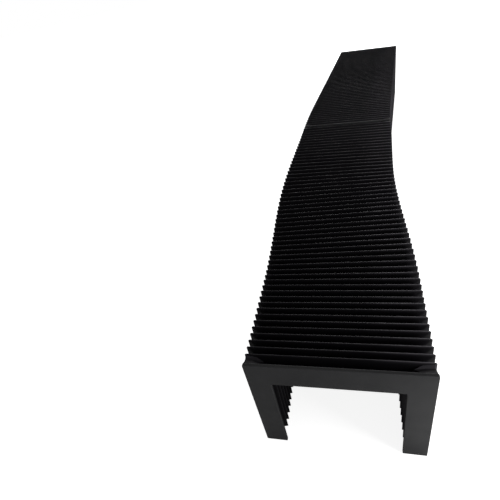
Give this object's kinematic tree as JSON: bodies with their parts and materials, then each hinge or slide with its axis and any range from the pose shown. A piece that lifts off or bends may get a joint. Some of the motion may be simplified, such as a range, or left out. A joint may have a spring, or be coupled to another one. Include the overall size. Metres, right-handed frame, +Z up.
{
  "type": "bellows cover",
  "caption": "U-section accordion bellows cover that folds and stretches over a machine guideway, closed by flat end frames.",
  "frame": {"origin": "on the line that the guide rail follows, at floor level, in the plane of the front frame's front face", "axes": "+Y from the front frame towards the rear frame, +Z up, +X to the right seen from the front"},
  "size_m": [0.2115, 1.0531, 0.125],
  "materials": {
    "frame_plastic": "matte black sheet plastic, smooth, with sawn edges",
    "bellows_laminate": "black coated cloth over a stiffener, satin, with paler pressed creases"
  },
  "bodies": {
    "rear": {"rear_end_frame": "frame_plastic", "rear_bellows": "bellows_laminate"},
    "middle": {"joining_frame": "frame_plastic", "front_bellows": "bellows_laminate"},
    "front": {"front_end_frame": "frame_plastic"}
  },
  "joints": [
    {"name": "rear_slide", "type": "slide", "parent": "rear", "child": "middle", "axis": [-0.1004, -0.9949, 0], "range_m": [-0.39, 0.461], "deforming": ["rear_bellows"]},
    {"name": "front_slide", "type": "slide", "parent": "middle", "child": "front", "axis": [0, -1, 0], "range_m": [-0.371, 0.48], "deforming": ["front_bellows"]}
  ]
}
